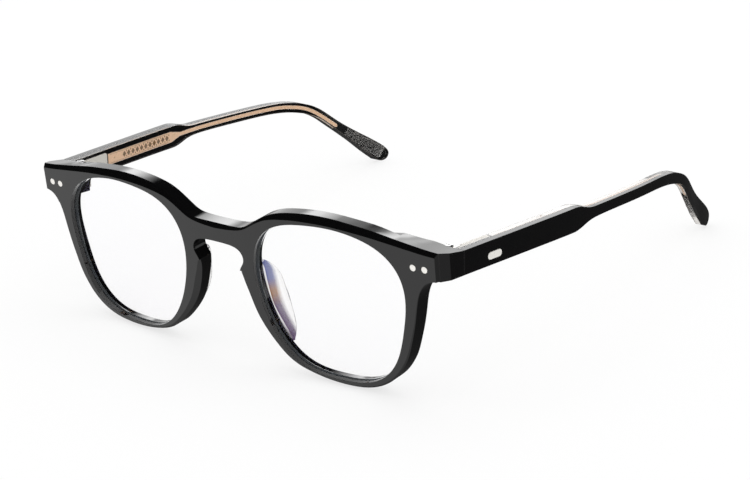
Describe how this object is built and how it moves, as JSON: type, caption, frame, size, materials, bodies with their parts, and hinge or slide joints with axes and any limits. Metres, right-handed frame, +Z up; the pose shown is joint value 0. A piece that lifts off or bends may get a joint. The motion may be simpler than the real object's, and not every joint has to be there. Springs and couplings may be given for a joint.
{
  "type": "acetate spectacles",
  "caption": "Black acetate spectacles with a keyhole bridge, clear lenses, laminated folding temples with a metal core, rivets, barrel hinges and clear nose pads.",
  "frame": {"origin": "centre of the bridge on its front surface", "axes": "+Z up, the lenses look along -Y and the open temples run back along +Y, +X is the wearer's left"},
  "size_m": [0.1426, 0.1474, 0.0446],
  "materials": {
    "front_acetate": "polished black acetate",
    "lens": "clear plastic lens with a faint reflection-reducing coat",
    "pad_clear": "clear polished acetate",
    "temple_black": "polished black laminate",
    "temple_clear": "clear crystal laminate",
    "core_metal": "rose gold plated strip",
    "hinge_metal": "nickel silver",
    "screw_metal": "stainless steel",
    "trim_metal": "polished nickel silver"
  },
  "bodies": {
    "front": {"front_frame": "front_acetate", "left_lens": "lens", "right_lens": "lens", "left_nose_pad": "pad_clear", "right_nose_pad": "pad_clear", "left_front_hinge": "hinge_metal", "right_front_hinge": "hinge_metal", "left_front_rivets": "trim_metal", "right_front_rivets": "trim_metal", "left_hinge_screw": "screw_metal", "right_hinge_screw": "screw_metal"},
    "left_temple": {"left_temple_outer": "temple_black", "left_temple_inner": "temple_clear", "left_temple_core": "core_metal", "left_temple_hinge": "hinge_metal", "left_temple_shield": "trim_metal"},
    "right_temple": {"right_temple_outer": "temple_black", "right_temple_inner": "temple_clear", "right_temple_core": "core_metal", "right_temple_hinge": "hinge_metal", "right_temple_shield": "trim_metal"}
  },
  "joints": [
    {"name": "left_fold", "type": "hinge", "parent": "front", "child": "left_temple", "pos_m": [0.0623, 0.014, 0], "axis": [0, 0, 1], "range_deg": [0, 91]},
    {"name": "right_fold", "type": "hinge", "parent": "front", "child": "right_temple", "pos_m": [-0.0623, 0.014, 0], "axis": [0, 0, -1], "range_deg": [0, 82]}
  ]
}
